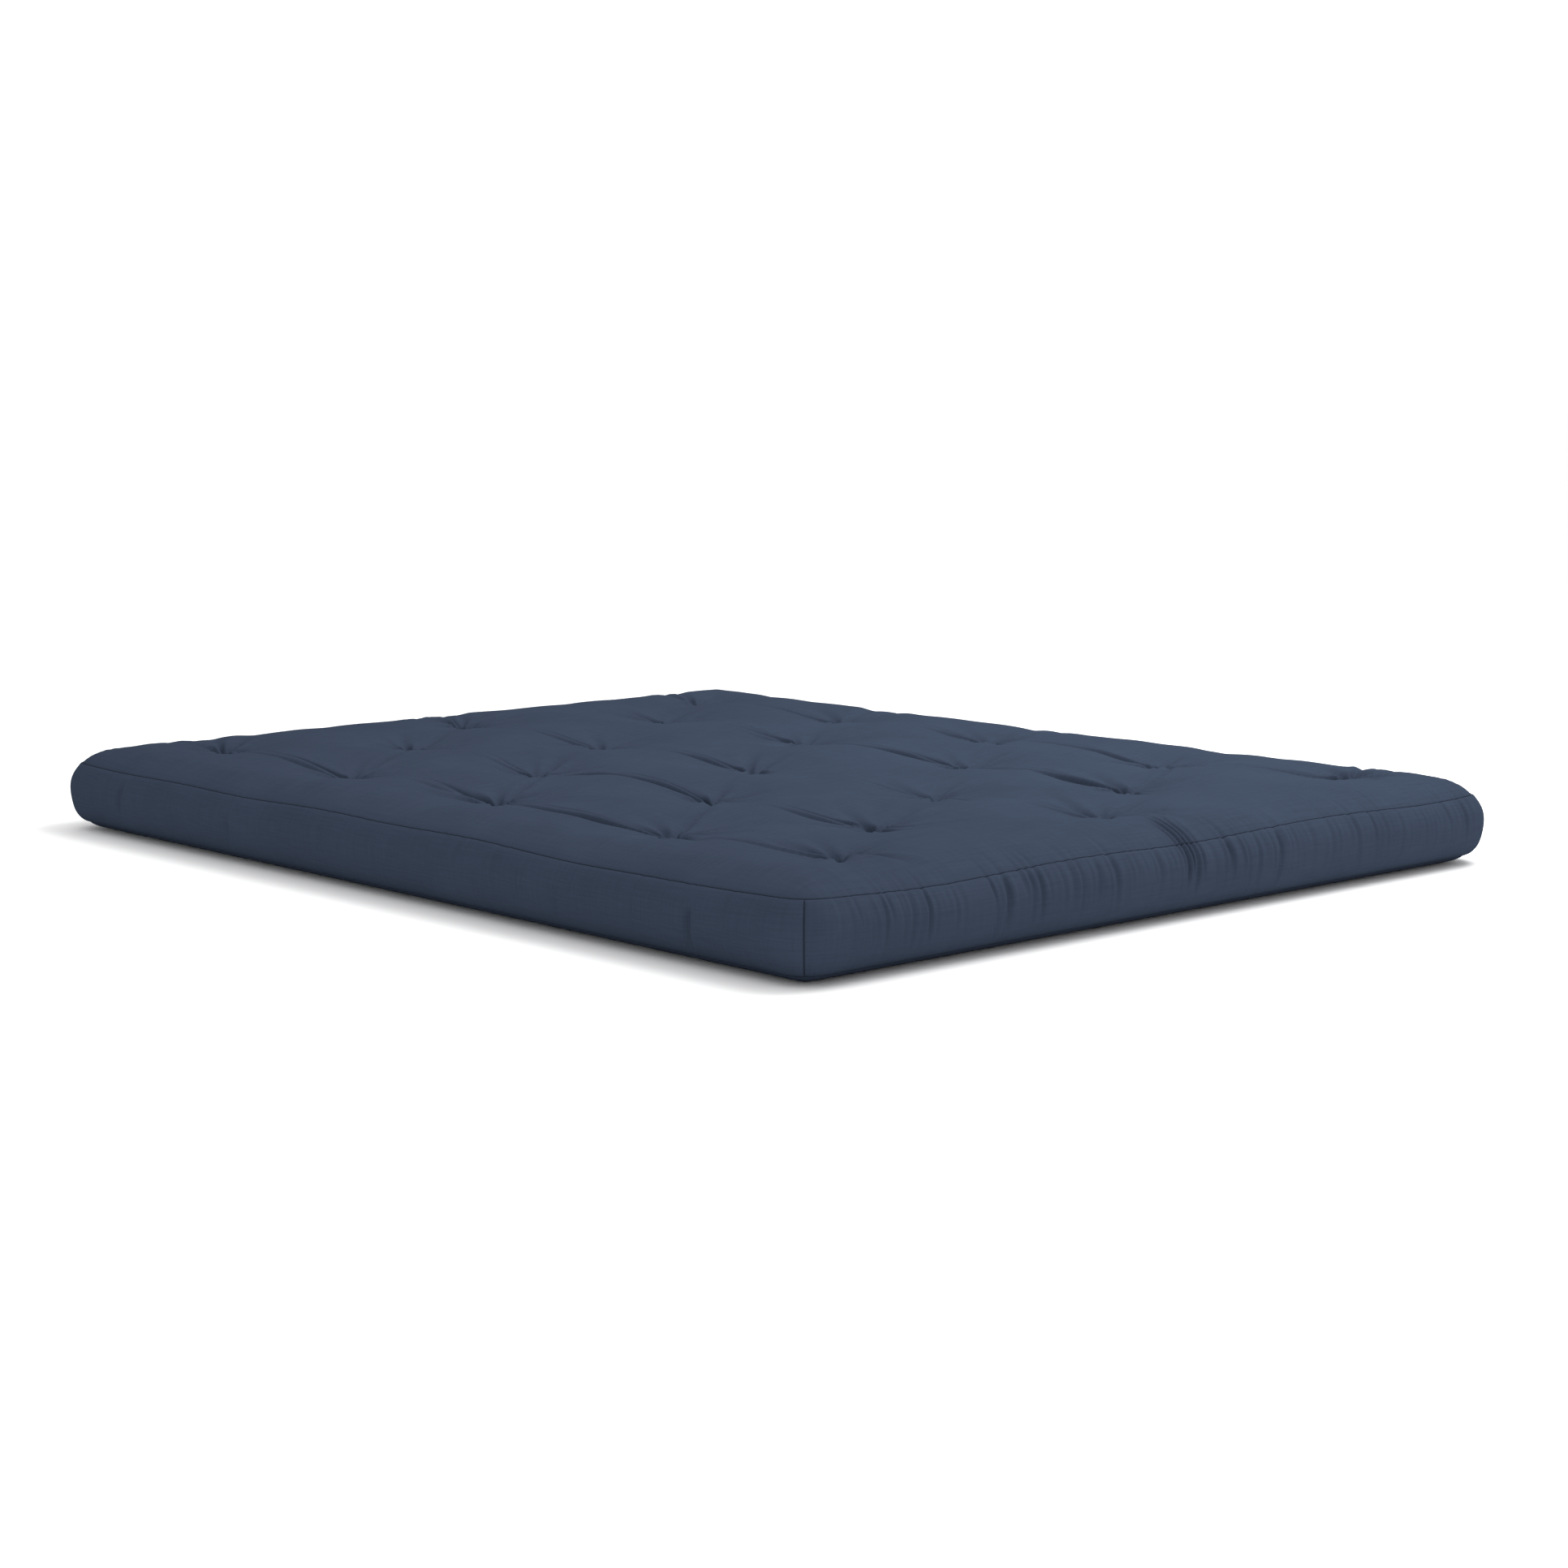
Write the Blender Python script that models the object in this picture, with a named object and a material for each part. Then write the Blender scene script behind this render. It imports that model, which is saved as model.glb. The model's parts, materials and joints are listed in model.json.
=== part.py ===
"""Tufted futon mattress for a double sofa bed: a boxed cotton cover around a foam core and cotton layers.

Metres, +Z up. The mattress lies flat with its underside on z = 0, its length along Y and its width along X.
It is one soft mattress that folds in half along its length, so everything that crosses the fold line is
modelled as a left half and a right half, and the right half swings up about the fold axis.
"""
import math

import bmesh
import bpy

# Overall size.
WIDTH = 1.60
LENGTH = 2.00
HEIGHT = 0.150
CORNER = 0.030          # plan radius of the four upright corners

# Cover.
CLOTH = 0.002           # woven cotton cover, doubled at the seams
EDGE_DROP = 0.030       # the top seam runs this far below the crown of the top
EDGE_RISE = 0.020       # the bottom seam runs this far above the underside
EDGE_RUN = 0.150        # width of the rounded margin beside each seam
SEAM = 0.0016           # open width between two sewn edges, filled by the seam thread
THREAD = 0.0005         # radius of the seam thread

# Filling, as heights of the flat interfaces between the layers.
WADDING = 0.012
CORE_BOTTOM = 0.045
CORE_TOP = 0.095

# Tufting: each hand-tied tie as fractions of half the length and half the width.
TUFT_ROWS = (
    (-0.82, (-0.70, 0.04, 0.84)),
    (-0.645, (-0.40, 0.36)),
    (-0.48, (-0.75, -0.02, 0.71)),
    (-0.245, (-0.39, 0.38)),
    (-0.02, (-0.74, -0.02, 0.75)),
    (0.20, (-0.42, 0.39)),
    (0.41, (-0.74, -0.02, 0.76)),
    (0.65, (-0.36, 0.43)),
    (0.85, (-0.72, -0.025, 0.75)),
)
TIE_RADIUS = 0.0012
KNOT_RADIUS = 0.0032
KNOT_LENGTH = 0.0040
TIE_ROOM = 0.0006       # clearance around a tie in its stitch hole

# Fold.
FOLD_X = 0.008          # the fold line passes between the middle ties
FOLD_LIFT = 0.002       # fold axis above the crown, so the folded halves just clear each other
GAP = 0.0003            # clearance between pieces that touch

RINGS = (0.012, 0.030, 0.055, 0.090, EDGE_RUN)
ARC_STEPS = 6
TIE_SIDES = 10
SIDES = (("left", -1), ("right", 1))
ENDS = (("near", -1), ("far", 1))

MATERIALS = {
    "cover_cloth": ((0.055, 0.075, 0.118), 0.90),
    "seam_thread": ((0.030, 0.040, 0.065), 0.80),
    "cotton": ((0.80, 0.76, 0.66), 0.95),
    "foam": ((0.85, 0.78, 0.50), 0.90),
    "tie_twine": ((0.040, 0.052, 0.085), 0.80),
}


def clear_scene():
    for thing in list(bpy.data.objects):
        bpy.data.objects.remove(thing, do_unlink=True)


def new_collection(name, hidden=False):
    group = bpy.data.collections.new(name)
    group.hide_render = hidden
    bpy.context.scene.collection.children.link(group)
    return group


def material_for(node, slot):
    colour, roughness = MATERIALS[slot]
    mat = bpy.data.materials.new(f"{node}_{slot}")
    mat.use_nodes = True
    shader = mat.node_tree.nodes["Principled BSDF"]
    shader.inputs["Base Color"].default_value = (*colour, 1.0)
    shader.inputs["Roughness"].default_value = roughness
    shader.inputs["Metallic"].default_value = 0.0
    return mat


def body(name, verts, faces, group, origin=(0.0, 0.0, 0.0), slot=None):
    """A closed mesh from points in world metres, with its own origin."""
    shifted = [tuple(v[i] - origin[i] for i in range(3)) for v in verts]
    mesh = bpy.data.meshes.new(name)
    mesh.from_pydata(shifted, [], faces)
    bm = bmesh.new()
    bm.from_mesh(mesh)
    bmesh.ops.recalc_face_normals(bm, faces=bm.faces)
    bm.to_mesh(mesh)
    bm.free()
    thing = bpy.data.objects.new(name, mesh)
    thing.location = origin
    group.objects.link(thing)
    if slot:
        mesh.materials.append(material_for(name, slot))
    return thing


def home(side):
    """Origin of a piece: the fold axis for the half that swings, the base centre for the half that lies still."""
    return (FOLD_X, 0.0, HEIGHT + FOLD_LIFT) if side > 0 else (0.0, 0.0, 0.0)


def crown(inset):
    """Drop of the rounded top margin at a distance in from the edge."""
    return -EDGE_DROP * max(0.0, 1.0 - inset / EDGE_RUN) ** 2.5


def belly(inset):
    """Rise of the rounded bottom margin at a distance in from the edge."""
    return EDGE_RISE * max(0.0, 1.0 - inset / EDGE_RUN) ** 2.5


def arc(side, end, inset, start, stop):
    """Points of one rounded corner between two angles, in degrees from the end face (0) to the long side (90)."""
    radius = max(CORNER - inset, 0.002)
    cx = side * (WIDTH / 2 - inset - radius)
    cy = end * (LENGTH / 2 - inset - radius)
    angles = [math.radians(start + (stop - start) * i / ARC_STEPS) for i in range(ARC_STEPS + 1)]
    return [(cx + side * radius * math.sin(a), cy + end * radius * math.cos(a)) for a in angles]


def half_outline(side, inset):
    """Outline of one half in plan, from the fold line at the near end round to the fold line at the far end."""
    fold = FOLD_X + side * GAP / 2
    near = arc(side, -1, inset, 0.0, 90.0)
    far = arc(side, 1, inset, 90.0, 0.0)
    return [(fold, -LENGTH / 2 + inset), *near, *far, (fold, LENGTH / 2 - inset)]


def slab(name, side, lower, upper, slot, group):
    """A layer of one half, between two surfaces given as (inset, height) rings from the edge inwards."""
    rings = [(d, z) for d, z in reversed(lower)] + list(upper)
    verts, count = [], 0
    for d, z in rings:
        outline = half_outline(side, d)
        count = len(outline)
        verts += [(x, y, z) for x, y in outline]
    faces = [tuple(range(count))]
    for k in range(len(rings) - 1):
        a, b = k * count, (k + 1) * count
        faces += [(a + i, a + i + 1, b + i + 1, b + i) for i in range(count - 1)]
    faces.append(tuple((len(rings) - 1) * count + i for i in range(count)))
    starts = [k * count for k in range(len(rings))]
    faces.append(tuple(starts + [s + count - 1 for s in reversed(starts)]))
    return body(name, verts, faces, group, home(side), slot)


def domed(base, shape, edge):
    """Rings of a surface that follows the rounded top or bottom margin."""
    return [(d, base + shape(d)) for d in (edge, *RINGS)]


def strip(name, outer, inner, low, high, group, side):
    """An upright strip of border cloth between an outer and an inner run of plan points."""
    loop = list(outer) + list(reversed(inner))
    n = len(loop)
    verts = [(x, y, low) for x, y in loop] + [(x, y, high) for x, y in loop]
    faces = [tuple(range(n)), tuple(range(n, 2 * n))]
    faces += [(i, (i + 1) % n, n + (i + 1) % n, n + i) for i in range(n)]
    return body(name, verts, faces, group, home(side), "cover_cloth")


def seam_run(name, path, z, group, side):
    """A seam thread swept along a level run of plan points."""
    verts, faces, sides = [], [], 6
    for i, (x, y) in enumerate(path):
        ax, ay = path[max(i - 1, 0)]
        bx, by = path[min(i + 1, len(path) - 1)]
        length = math.hypot(bx - ax, by - ay)
        nx, ny = (by - ay) / length, (ax - bx) / length
        for k in range(sides):
            a = 2 * math.pi * k / sides
            verts.append((x + nx * THREAD * math.cos(a), y + ny * THREAD * math.cos(a),
                          z + THREAD * math.sin(a)))
    for i in range(len(path) - 1):
        a, b = i * sides, (i + 1) * sides
        faces += [(a + k, a + (k + 1) % sides, b + (k + 1) % sides, b + k) for k in range(sides)]
    faces += [tuple(range(sides)), tuple((len(path) - 1) * sides + k for k in range(sides))]
    return body(name, verts, faces, group, home(side), "seam_thread")


def lathe(name, x, y, profile, sides, group, origin=(0.0, 0.0, 0.0), slot=None):
    """A body of revolution about an upright line, from (radius, height) points between two flat ends."""
    verts = [(x + r * math.cos(2 * math.pi * k / sides), y + r * math.sin(2 * math.pi * k / sides), z)
             for r, z in profile for k in range(sides)]
    faces = []
    for i in range(len(profile) - 1):
        a, b = i * sides, (i + 1) * sides
        faces += [(a + k, a + (k + 1) % sides, b + (k + 1) % sides, b + k) for k in range(sides)]
    faces += [tuple(range(sides)), tuple((len(profile) - 1) * sides + k for k in range(sides))]
    return body(name, verts, faces, group, origin, slot)


def tie_profile(low, high, shaft, knot, length):
    """Twine with a knot at each end."""
    return [(0.6 * knot, low), (knot, low + 0.3 * length), (knot, low + 0.7 * length), (shaft, low + length),
            (shaft, high - length), (knot, high - 0.7 * length), (knot, high - 0.3 * length), (0.6 * knot, high)]


def hole_profile(shaft, knot, length):
    """Room for a tie, open past both faces of the mattress."""
    return [(knot, -0.002), (knot, length), (shaft, length + 0.001),
            (shaft, HEIGHT - length - 0.001), (knot, HEIGHT - length), (knot, HEIGHT + 0.002)]


def tufts():
    """Position of every tie."""
    return [(fx * WIDTH / 2, fy * LENGTH / 2) for fy, row in TUFT_ROWS for fx in row]


def side_of(x):
    return 1 if x > FOLD_X else -1


def stitch_holes(side, cutters):
    """One cutter with the stitch holes of every tie in a half."""
    verts, faces = [], []
    for index, (x, y) in enumerate(t for t in tufts() if side_of(t[0]) == side):
        hole = lathe(f"hole_{side}_{index}", x, y, hole_profile(
            TIE_RADIUS + TIE_ROOM, KNOT_RADIUS + TIE_ROOM, KNOT_LENGTH + 0.0012), TIE_SIDES, cutters)
        base = len(verts)
        verts += [tuple(v.co) for v in hole.data.vertices]
        faces += [tuple(base + i for i in p.vertices) for p in hole.data.polygons]
        bpy.data.objects.remove(hole, do_unlink=True)
    cutter = body("stitch_holes_" + ("right" if side > 0 else "left"), verts, faces, cutters)
    cutter.display_type = "WIRE"
    cutter.hide_render = True
    return cutter


def pierce(thing, cutter):
    cut = thing.modifiers.new("stitch_holes", "BOOLEAN")
    cut.operation = "DIFFERENCE"
    cut.solver = "EXACT"
    cut.object = cutter


def build_half(label, side, group, cutters):
    """Cover, filling layers and seam threads of one half."""
    inside = CLOTH + GAP
    top, bottom = HEIGHT - CLOTH, CLOTH
    felt_top, felt_bottom = top - GAP - WADDING, bottom + GAP + WADDING
    layers = (
        ("top_panel", domed(top, crown, 0.0), domed(HEIGHT, crown, 0.0), "cover_cloth"),
        ("top_wadding", domed(felt_top, crown, inside), domed(top - GAP, crown, inside), "cotton"),
        ("upper_cotton", [(inside, CORE_TOP + GAP)], domed(felt_top - GAP, crown, inside), "cotton"),
        ("foam_core", [(inside, CORE_BOTTOM)], [(inside, CORE_TOP)], "foam"),
        ("lower_cotton", domed(felt_bottom + GAP, belly, inside), [(inside, CORE_BOTTOM - GAP)], "cotton"),
        ("bottom_wadding", domed(bottom + GAP, belly, inside), domed(felt_bottom, belly, inside), "cotton"),
        ("bottom_panel", domed(0.0, belly, 0.0), domed(bottom, belly, 0.0), "cover_cloth"),
    )
    holes = stitch_holes(side, cutters)
    for name, lower, upper, slot in layers:
        pierce(slab(f"{name}_{label}", side, lower, upper, slot, group), holes)

    top_seam = top + crown(0.0) - SEAM / 2
    bottom_seam = bottom + belly(0.0) + SEAM / 2
    low, high = bottom_seam + SEAM / 2, top_seam - SEAM / 2
    open_angle = math.degrees(SEAM / 2 / CORNER)
    cut = 45.0 - open_angle
    for end_label, end in ENDS:
        fold = FOLD_X + side * GAP / 2
        outer = [(fold, end * LENGTH / 2), *arc(side, end, 0.0, 0.0, cut)]
        inner = [(fold, end * (LENGTH / 2 - CLOTH)), *arc(side, end, CLOTH, 0.0, cut)]
        strip(f"{end_label}_border_{label}", outer, inner, low, high, group, side)
        corner = arc(side, end, CLOTH / 2, 45.0, 45.0)[0]
        lathe(f"corner_seam_{end_label}_{label}", *corner, [(THREAD, low), (THREAD, high)], 6, group,
              home(side), "seam_thread")
    outer = arc(side, -1, 0.0, 90.0 - cut, 90.0) + arc(side, 1, 0.0, 90.0, 90.0 - cut)
    inner = arc(side, -1, CLOTH, 90.0 - cut, 90.0) + arc(side, 1, CLOTH, 90.0, 90.0 - cut)
    strip(f"side_border_{label}", outer, inner, low, high, group, side)
    path = half_outline(side, CLOTH / 2)
    seam_run(f"top_seam_{label}", path, top_seam, group, side)
    seam_run(f"bottom_seam_{label}", path, bottom_seam, group, side)


def build_ties(group):
    """The hand-tied twine of every tuft, through the whole mattress."""
    profile = tie_profile(GAP, HEIGHT - 0.0006, TIE_RADIUS, KNOT_RADIUS, KNOT_LENGTH)
    for number, (x, y) in enumerate(tufts(), start=1):
        lathe(f"tuft_tie_{number:02d}", x, y, profile, TIE_SIDES, group, home(side_of(x)), "tie_twine")


def main():
    clear_scene()
    group = new_collection("futon_mattress")
    cutters = new_collection("cutters", hidden=True)
    for label, side in SIDES:
        build_half(label, side, group, cutters)
    build_ties(group)


main()
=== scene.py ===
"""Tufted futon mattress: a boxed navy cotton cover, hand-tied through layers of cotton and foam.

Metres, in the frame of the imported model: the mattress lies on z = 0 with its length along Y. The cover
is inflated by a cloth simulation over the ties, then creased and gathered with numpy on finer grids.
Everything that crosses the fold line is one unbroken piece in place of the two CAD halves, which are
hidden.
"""
import json
import math

import bpy
import numpy as np
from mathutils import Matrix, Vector


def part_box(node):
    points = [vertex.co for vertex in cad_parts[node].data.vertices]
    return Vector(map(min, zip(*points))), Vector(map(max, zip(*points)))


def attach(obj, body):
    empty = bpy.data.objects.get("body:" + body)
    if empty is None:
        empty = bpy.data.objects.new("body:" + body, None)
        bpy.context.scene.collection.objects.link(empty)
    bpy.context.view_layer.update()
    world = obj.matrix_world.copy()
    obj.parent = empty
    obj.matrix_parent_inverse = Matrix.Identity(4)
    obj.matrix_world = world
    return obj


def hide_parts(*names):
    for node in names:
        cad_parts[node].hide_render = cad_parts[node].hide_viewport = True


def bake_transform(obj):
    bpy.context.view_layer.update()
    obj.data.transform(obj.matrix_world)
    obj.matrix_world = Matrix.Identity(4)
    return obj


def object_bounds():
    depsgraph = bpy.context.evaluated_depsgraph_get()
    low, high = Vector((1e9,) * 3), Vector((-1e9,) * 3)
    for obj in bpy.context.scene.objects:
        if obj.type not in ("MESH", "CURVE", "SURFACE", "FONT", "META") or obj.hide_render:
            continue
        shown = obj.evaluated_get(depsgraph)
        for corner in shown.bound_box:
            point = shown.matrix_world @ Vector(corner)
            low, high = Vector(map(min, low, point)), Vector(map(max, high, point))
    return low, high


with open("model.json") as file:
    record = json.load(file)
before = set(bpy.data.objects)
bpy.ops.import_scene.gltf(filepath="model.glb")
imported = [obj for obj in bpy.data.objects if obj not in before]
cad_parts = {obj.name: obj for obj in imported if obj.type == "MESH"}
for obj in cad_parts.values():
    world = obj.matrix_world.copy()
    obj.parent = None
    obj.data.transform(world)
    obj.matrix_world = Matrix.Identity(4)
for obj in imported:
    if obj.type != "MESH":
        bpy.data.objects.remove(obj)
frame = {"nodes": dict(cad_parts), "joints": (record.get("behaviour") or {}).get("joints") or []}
CAD_BOX = [list(corner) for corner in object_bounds()]

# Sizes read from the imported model.
HALF_WIDTH, HALF_LENGTH, TOP = CAD_BOX[1]
WIDE, LONG = 2 * HALF_WIDTH, 2 * HALF_LENGTH
ROUND = 2 * (WIDE + LONG)  # length of the square outline
FOLD = np.array(frame["joints"][0]["pos_m"])
TIES = sorted(name for name in frame["nodes"] if name.startswith("tuft_tie"))
TUFTS = np.array([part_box(name) for name in TIES]).mean(1)[:, :2]
TOP_SEAM = float(np.mean([corner[2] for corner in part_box("top_seam_left")]))
SEAM_SETTLES = 0.009  # the bottom seam sits this much lower than in CAD, under the weight
BOTTOM_SEAM = float(np.mean([corner[2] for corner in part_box("bottom_seam_left")])) - SEAM_SETTLES

# Cover.
CELL = 0.0125  # spacing of the cloth that is simulated
X_LINES, Y_LINES = 430, 225  # grid lines of the finished top
BORDER_ROWS = 30  # and of the finished border, from seam to seam
CORNER = 0.040  # plan radius of the upright corners
CROWN = TOP + 0.0070  # height of the top between the ties
CROWN_LIMIT = TOP + 0.0105  # no fold of the top rises higher
CAP_ROOM = 0.012  # heights this close to the limit are squeezed
SEAM_DIP, SEAM_DIP_REACH = 0.021, 0.21  # how far the top seam dips beside a tie, and how near that is
SEAM_DIP_MEAN = 0.011  # what evens those dips out over the whole seam
SEAM_WANDER = 0.002  # how far the seam wanders up and down besides
TIE_FAR = 0.6  # a tie further away counts as this far
SIDE_DROP = 0.004  # how much lower the top is along the two long sides
SIDE_STRIP = (0.10, 0.25)  # distances in from a long side over which that drop ends
SIDE_ENDS = (0.10, 0.35)  # distances in from an end over which it begins
SAG = 0.004  # the cloth starts this far below the crown and swells up to it
SWELL_KEPT = 0.4  # share of the swelling that is left once the filling has settled
EDGE_RUN = 0.100  # width of the rounded margin beside the top seam
EDGE_FULL = 3.4  # how full that margin is: the power of its curve
PIT_DEPTH, PIT_REACH = 0.014, 0.016  # the narrow pit at every tie
DISH_DEPTH, DISH_REACH = 0.024, 0.21  # the wide dish round it
DISH_POINT = 1.3  # above 1, the dish is steepest at the tie
ROLL = (0.05, 0.19)  # distances in from the edge over which the padded roll gives way
UNDER_DEPTH = 0.014  # how far the ties pull the underside up
UNDER_REACH = 0.028  # radius of that hollow
UNDER_POINT = 1.3  # above 1, that hollow is rounded at the tie
UNDER_FOLDS = 0.3  # height of its folds, as a share of those on the top
UNDER_FOLDED = (0.0005, 0.008)  # depths of the hollow over which its folds begin
UNDER_MARGIN, UNDER_FULL = 0.045, 2.4  # rounded margin of the underside and the power of its curve
BULGE = 0.018  # how far the border swells out at its middle
STRAIGHT = 0.98  # the border is round where its two outward parts differ by less
BULGE_ABOVE, BULGE_BELOW = 3.0, 6.0  # powers of the border's curve over and under its middle
PLUMP, PLUMP_RUN = 0.008, 0.038  # how far the top seam is pushed out, and how far in that starts
SEAM_TUCK = 0.0016  # how far a sewn edge turns in
SEAM_RUN = 0.0024  # width of that turn
EDGE_LEAN = 0.035  # width over which edge gathers turn from outwards to upwards
GATHER_FADE = 0.030  # how far in over the top the gathers reach
UNEVEN = 0.0011  # height of the slight unevenness of the whole top
KNOT_FLAT = (0.002, 0.012)  # distances from a tie over which the cloth leaves the flat spot under it
BATCHES = 16  # the gathers are worked out in this many parts, to save memory
BEND_ROOM = 0.13  # half the width of cloth that takes up the fold
SWELL_FRAMES = 20
SWELL_START = 0.008  # how far the border stands out before it swells
SEAM_HELD = 0.4  # how firmly the top seam is held meanwhile
TOP_PASSES, EDGE_PASSES = 4, 60  # how often the swelling is evened out, on the top and along the edge
WADDING = 0.084  # share of the filling's height that each wadding takes
CLEARANCE = 0.0004  # gap that each layer keeps to its neighbours
ROOF_GAP, FLOOR_GAP, EDGE_GAP = 0.0030, 0.0020, 0.016  # room between filling and cover
THREAD_SHOWS = 0.0004  # how far a seam thread stands out of its groove
THREAD_RADII = (0.0007, 0.0005, 0.0008)  # top seam, bottom seam and corner seams
ROWS_CROWD = 0.11  # how much closer the border's rows lie at both seams
TWINE_RADIUS, BAR_HALF, BAR_RISE = 0.0010, 0.0035, 0.003  # a tie's cord, half its bar, the bar's arch
BAR_OVER, LOOP_UNDER = 0.0008, 0.0005  # how far a tie stands out of the cloth above and below
TIE_TURN = 0.9  # each bar is turned by this much more than the one before
YARN = 0.0018  # pitch of the plain weave
NAVY = np.array((0.0303, 0.0411, 0.0640))
THREAD_COLOUR, TWINE_COLOUR = (0.014, 0.018, 0.028), (0.020, 0.028, 0.046)
COTTON_COLOUR, FOAM_COLOUR = (0.80, 0.76, 0.66), (0.85, 0.78, 0.50)

# Folds round a tie: number, and the least and greatest reach, depth, sideways curve and turn.
RAYS = 8
RAY_REACH = (0.030, 0.090)
RAY_DEPTH = (0.0090, 0.0190)
RAY_CURVE = (-1.8, 1.8)
RAY_TURN = (-0.30, 0.30)
RAY_WIDTH, RAY_SPREAD = 0.0032, 0.09  # width at the tie, and how fast it grows along the fold
RAY_START = 0.012  # distance from the tie at which a fold is at its deepest
RAY_LIMIT = 0.20  # beyond this no fold is left
FOLDS_FROM = (0.01, 0.06)  # distances in from the edge over which folds and creases begin

# The creases from tie to tie: for every column of ties, left to right, the bow, depth and share of its
# length of the crease in each gap, from the near end to the far end.
CREASES = (
    ((-0.040, 0.0042, 0.90), (-0.050, 0.0095, 0.95), (-0.015, 0.0040, 0.70), (-0.020, 0.0052, 0.90)),
    ((-0.040, 0.0058, 0.70), (0.015, 0.0085, 1.05), (-0.010, 0.0034, 0.60)),
    ((-0.015, 0.0028, 0.60), (-0.020, 0.0030, 0.55), (-0.020, 0.0074, 0.70), (-0.015, 0.0040, 0.70)),
    ((-0.025, 0.0095, 0.75), (-0.030, 0.0095, 0.90), (-0.020, 0.0042, 0.70)),
    ((-0.015, 0.0044, 0.80), (-0.020, 0.0074, 0.95), (-0.020, 0.0036, 0.60), (-0.020, 0.0046, 0.80)),
)
CREASE_WIDTH = (0.0032, 0.0030)  # width of a crease at its nearer tie, and what it gains on the way
CREASE_WIDENS = 0.45  # share of the way over which it gains that
CREASE_START, CREASE_FADE = (-0.08, 0.04), 0.55  # where a crease begins, and how long its end is
COLUMN_SPREAD = 0.14  # the next tie of a column is less than this to its left or right
# Short arcs from one tie to the next row: numbers of the two ties and the bow.
ARC_WIDTH, ARC_DEPTH = 0.0062, 0.0062
ARC_START, ARC_STOP = (0.02, 0.25), (0.55, 1.0)  # shares of the way over which it begins and ends
ARCS = ((11, 14, -0.030), (16, 19, -0.030), (5, 8, -0.040), (6, 9, -0.025), (13, 15, 0.030))
# Deep single creases in the border: distance round the edge, depth, and start and end on the way down.
BORDER_CREASES = ((0.39, 0.0050, -0.1, 0.75), (0.59, 0.0040, -0.1, 0.60), (1.03, 0.0052, -0.1, 0.80),
                  (5.40, 0.0070, 0.05, 0.70), (5.76, 0.0040, 0.25, 0.85), (6.99, 0.0085, 0.20, 0.95),
                  (6.05, 0.0030, 0.10, 0.60), (6.36, 0.0036, 0.25, 0.80), (6.68, 0.0030, 0.30, 0.90),
                  (2.70, 0.0040, 0.10, 0.70), (4.30, 0.0040, 0.05, 0.75))
BORDER_CREASE_WIDTH, BORDER_CREASE_LEAN = 0.0055, -0.012
# Fine gathers along the top seam: how many are drawn, the share kept on the long sides, the share that
# is twice as deep, and the least and greatest width, depth, share of the way down, and lean.
GATHERS, SIDE_SHARE, DOUBLED_SHARE = 1000, 0.40, 0.07
GATHER_WIDTH = (0.0028, 0.0062)
END_DEPTH, SIDE_DEPTH = (0.0004, 0.0019), (0.0003, 0.0015)
GATHER_REACH = (0.25, 1.0)
GATHER_LEAN = (-0.010, 0.006)
GATHER_RIDGE = 0.2  # height of the ridges beside a gather, as a share of its depth
GATHER_FREE = (0.015, 0.060)  # distances from a corner over which gathers begin
GATHER_BEGIN, GATHER_END = 0.2, 4  # share of the way down over which one begins, and power of its end
BORDER_CALM = (0.85, 1.0)  # shares of the way down over which the border gets smooth again
SEAM_CALM = 0.15  # share of the way down over which gathers reach their full depth
# Grooves side by side at the fold line: place, width, depth, reach over the top and share down the border.
BUNCH_LEAN = 0.012
BUNCH_FADE = (0.35, 0.4)  # shares of both reaches after which a groove fades
BUNCH = ((-0.021, 0.0028, 0.0018, 0.05, 0.50), (-0.009, 0.0030, 0.0034, 0.08, 0.75),
         (0.003, 0.0026, 0.0024, 0.11, 0.60), (0.014, 0.0032, 0.0034, 0.08, 0.90),
         (0.027, 0.0028, 0.0016, 0.05, 0.55))

# View.
EYE = np.array((-3.632, -4.051, 0.876))
HEADING, DIP = math.radians(42.48), math.radians(8.02)
LENS, SENSOR = 69.64, 36.0

rng = np.random.default_rng(23)


# ---------------------------------------------------------------- grids

def smoothstep(low, high, value):
    """0 before low, 1 after high, and 3t^2 - 2t^3 between them."""
    t = np.clip((value - low) / (high - low), 0.0, 1.0)
    return t * t * (3 - 2 * t)


def unit(vectors):
    """Vectors divided by their lengths."""
    return vectors / np.maximum(np.linalg.norm(vectors, axis=-1, keepdims=True), 1e-9)


def refine(points, place, axis, closed=False):
    """Points of a grid at fractional places along one axis, on the Catmull-Rom cubic through its points.

    The places are one list, or a list for every line across the axis.
    """
    rows = np.moveaxis(points, axis, 0)
    count = len(rows)
    first = np.floor(place).astype(int)
    t = (place - first).reshape(place.shape + (1,) * (rows.ndim - place.ndim))

    def row(step):
        """The rows some steps from the first one, going round or stopping at the edges."""
        number = (first + step) % count if closed else np.clip(first + step, 0, count - 1)
        return rows[number] if place.ndim == 1 else rows[number, np.arange(rows.shape[1])]

    a, b, c, d = row(-1), row(0), row(1), row(2)
    cubic = b + 0.5 * t * (c - a + t * (2 * a - 5 * b + 4 * c - d + t * (3 * (b - c) + d - a)))
    return np.moveaxis(cubic, 0, axis)


def split_places(place, parts):
    """The places and equal steps between them."""
    return np.interp(np.arange((len(place) - 1) * parts + 1) / parts, np.arange(len(place)), place)


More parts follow.
